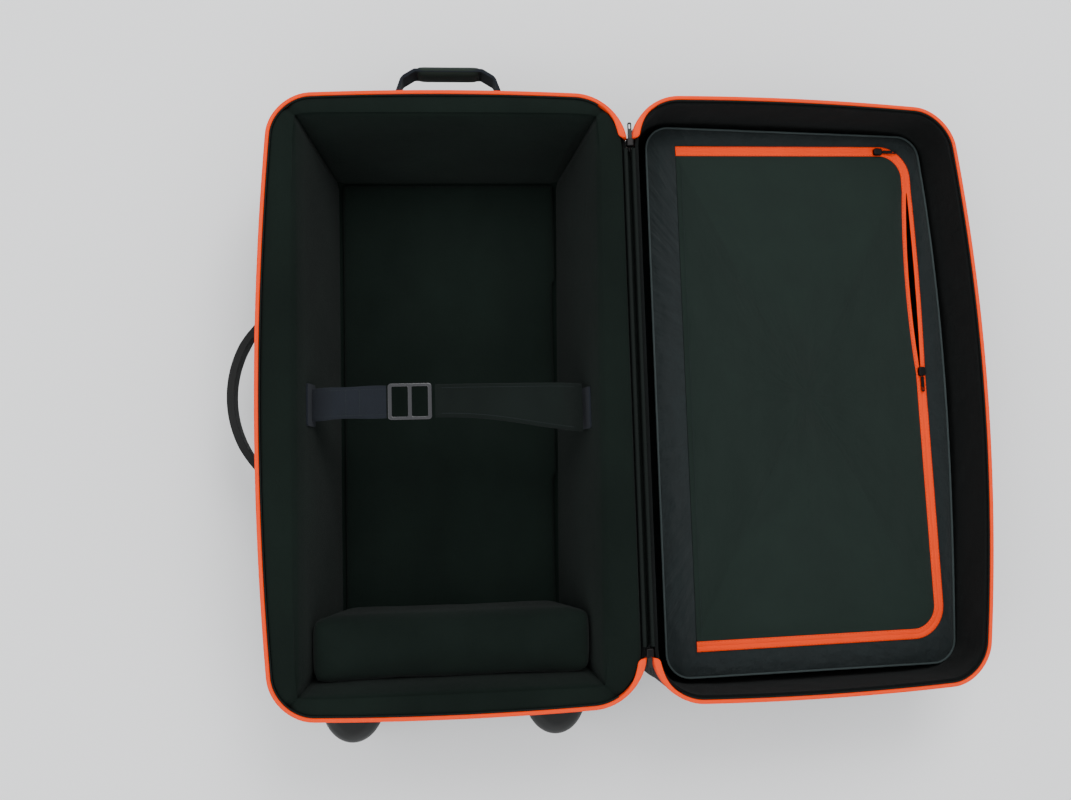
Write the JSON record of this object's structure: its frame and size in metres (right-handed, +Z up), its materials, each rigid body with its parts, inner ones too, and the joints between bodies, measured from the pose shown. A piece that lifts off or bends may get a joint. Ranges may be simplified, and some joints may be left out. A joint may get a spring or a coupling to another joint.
{
  "type": "telescope carry case",
  "caption": "Wheeled soft-shell telescope case, lying open: foam-lined body with retaining strap and loose block, hinged lid with zipped accessory pouch, carrying handles and pull handle.",
  "frame": {"origin": "middle of the body's flat back face, which the open case lies on", "axes": "+X towards the hinge and the opened lid, +Y towards the top end with the carrying handle, +Z up out of the open body"},
  "size_m": [0.9439, 0.8383, 0.1935],
  "materials": {
    "case_fabric": "black woven nylon over moulded foam",
    "zip_orange": "bright orange zip tape",
    "zip_teeth": "black nylon coil",
    "edge_binding": "black ribbed binding",
    "velour_foam": "dark brushed velour on foam",
    "board_black": "black board",
    "webbing": "woven nylon webbing",
    "padded_strap": "black brushed loop fabric",
    "buckle_plastic": "polished black plastic",
    "handle_rubber": "soft black rubber",
    "grip_fabric": "grey-green padded fabric",
    "moulded_black": "fine grained black plastic",
    "screw_steel": "zinc plated",
    "tube_alloy": "anodised",
    "wheel_tread": "polyurethane tread",
    "wheel_hub": "grey nylon",
    "bearing_steel": "ground steel",
    "zip_metal": "dark plated zip metal",
    "lining_fabric": "thin dark lining cloth",
    "pouch_fabric": "dark green-grey nylon",
    "pouch_border_fabric": "dark wrinkled nylon"
  },
  "bodies": {
    "body": {"body_shell": "case_fabric", "body_zip_tape": "zip_orange", "body_zip_coil": "zip_teeth", "body_hinge_binding": "edge_binding", "hinge_spine": "edge_binding", "main_slider_top": "zip_metal", "main_slider_bottom": "zip_metal", "foam_top": "velour_foam", "foam_hinge_side": "velour_foam", "foam_bottom": "velour_foam", "foam_outer_side": "velour_foam", "floor_board": "board_black", "floor_pad": "velour_foam", "strap_anchor_left": "webbing", "strap_anchor_right": "webbing", "side_handle_mounts": "moulded_black", "top_handle_mounts": "moulded_black", "mount_screws": "screw_steel", "outer_tube_left": "tube_alloy", "outer_tube_right": "tube_alloy", "tube_brackets": "moulded_black", "handle_bezel": "moulded_black", "wheel_housing_left": "moulded_black", "wheel_housing_right": "moulded_black", "wheel_axle_left": "bearing_steel", "wheel_axle_right": "bearing_steel"},
    "lid": {"lid_shell": "case_fabric", "lid_zip_tape": "zip_orange", "lid_zip_coil": "zip_teeth", "lid_hinge_binding": "edge_binding", "lid_lining": "lining_fabric", "pouch_gusset": "pouch_border_fabric", "pouch_border": "pouch_border_fabric", "pouch_zip_outer": "zip_orange"},
    "flap": {"pouch_flap": "pouch_fabric", "pouch_zip_inner": "zip_orange"},
    "pouch_slider_side": {"pouch_slider_side": "zip_metal"},
    "pouch_pull_side": {"pouch_pull_side": "zip_metal"},
    "pouch_slider_top": {"pouch_slider_top": "zip_metal"},
    "pouch_pull_top": {"pouch_pull_top": "zip_metal"},
    "main_pull_top": {"main_pull_top": "zip_metal"},
    "main_pull_bottom": {"main_pull_bottom": "zip_metal"},
    "loose_block": {"foam_block": "velour_foam"},
    "strap_buckle_end": {"strap_left": "webbing", "strap_buckle": "buckle_plastic"},
    "strap_pad_end": {"strap_right": "padded_strap"},
    "side_carry_handle": {"side_handle": "handle_rubber"},
    "top_carry_handle": {"top_handle_strap": "webbing", "top_handle_grip": "grip_fabric"},
    "pull_handle": {"inner_tube_left": "tube_alloy", "inner_tube_right": "tube_alloy", "handle_grip": "handle_rubber"},
    "button": {"handle_button": "moulded_black"},
    "wheel_left": {"wheel_hub_left": "wheel_hub", "wheel_tyre_left": "wheel_tread", "wheel_bearings_left": "bearing_steel"},
    "wheel_right": {"wheel_hub_right": "wheel_hub", "wheel_tyre_right": "wheel_tread", "wheel_bearings_right": "bearing_steel"}
  },
  "joints": [
    {"name": "lid_hinge", "type": "hinge", "parent": "body", "child": "lid", "pos_m": [0.215, 0, 0.19], "axis": [0, 1, 0], "range_deg": [-185.5, 0]},
    {"name": "flap_hinge", "type": "hinge", "parent": "lid", "child": "flap", "pos_m": [0.28512, 0, 0.13051], "axis": [0, -1, 0], "range_deg": [0, 110]},
    {"name": "side_slider_slide", "type": "slide", "parent": "flap", "child": "pouch_slider_side", "axis": [-0.0111, 0.9999, 0.0011], "range_m": [-0.26, 0.22]},
    {"name": "side_pull_lift", "type": "hinge", "parent": "pouch_slider_side", "child": "pouch_pull_side", "pos_m": [0.60271, 0.0211, 0.10264], "axis": [-0.9954, 0, 0.0958], "range_deg": [0, 85]},
    {"name": "top_slider_slide", "type": "slide", "parent": "flap", "child": "pouch_slider_top", "axis": [0.995, 0.0285, -0.0958], "range_m": [-0.25, 0]},
    {"name": "top_pull_lift", "type": "hinge", "parent": "pouch_slider_top", "child": "pouch_pull_top", "pos_m": [0.56747, 0.3196, 0.10603], "axis": [0, -1, 0], "range_deg": [0, 85]},
    {"name": "main_pull_top_lift", "type": "hinge", "parent": "body", "child": "main_pull_top", "pos_m": [0.215, 0.3066, 0.19], "axis": [1, 0, 0], "range_deg": [0, 85]},
    {"name": "main_pull_bottom_lift", "type": "hinge", "parent": "body", "child": "main_pull_bottom", "pos_m": [0.215, -0.3066, 0.19], "axis": [-1, 0, 0], "range_deg": [0, 85]},
    {"name": "block_lift", "type": "slide", "parent": "body", "child": "loose_block", "axis": [0, 0, 1], "range_m": [0, 0.16]},
    {"name": "buckle_strap_lift", "type": "hinge", "parent": "body", "child": "strap_buckle_end", "pos_m": [-0.166, -0.005, 0.151], "axis": [0, -1, 0], "range_deg": [0, 60]},
    {"name": "padded_strap_lift", "type": "hinge", "parent": "body", "child": "strap_pad_end", "pos_m": [0.15088, -0.005, 0.153], "axis": [0, 1, 0], "range_deg": [0, 60]},
    {"name": "side_handle_swing", "type": "hinge", "parent": "body", "child": "side_carry_handle", "pos_m": [-0.2335, 0.012, 0.095], "axis": [0, 1, 0], "range_deg": [-60, 60]},
    {"name": "top_handle_swing", "type": "hinge", "parent": "body", "child": "top_carry_handle", "pos_m": [-0.001, 0.37028, 0.1], "axis": [1, 0, 0], "range_deg": [-60, 60]},
    {"name": "pull_handle_slide", "type": "slide", "parent": "body", "child": "pull_handle", "axis": [0, 1, 0], "range_m": [0, 0.42]},
    {"name": "handle_button_press", "type": "slide", "parent": "pull_handle", "child": "button", "axis": [0, -1, 0], "range_m": [0, 0.003], "stiffness_N_per_m": 800},
    {"name": "wheel_left_spin", "type": "hinge", "parent": "body", "child": "wheel_left", "pos_m": [-0.129, -0.3835, 0.035], "axis": [1, 0, 0], "continuous": true},
    {"name": "wheel_right_spin", "type": "hinge", "parent": "body", "child": "wheel_right", "pos_m": [0.113, -0.3835, 0.035], "axis": [1, 0, 0], "continuous": true}
  ]
}
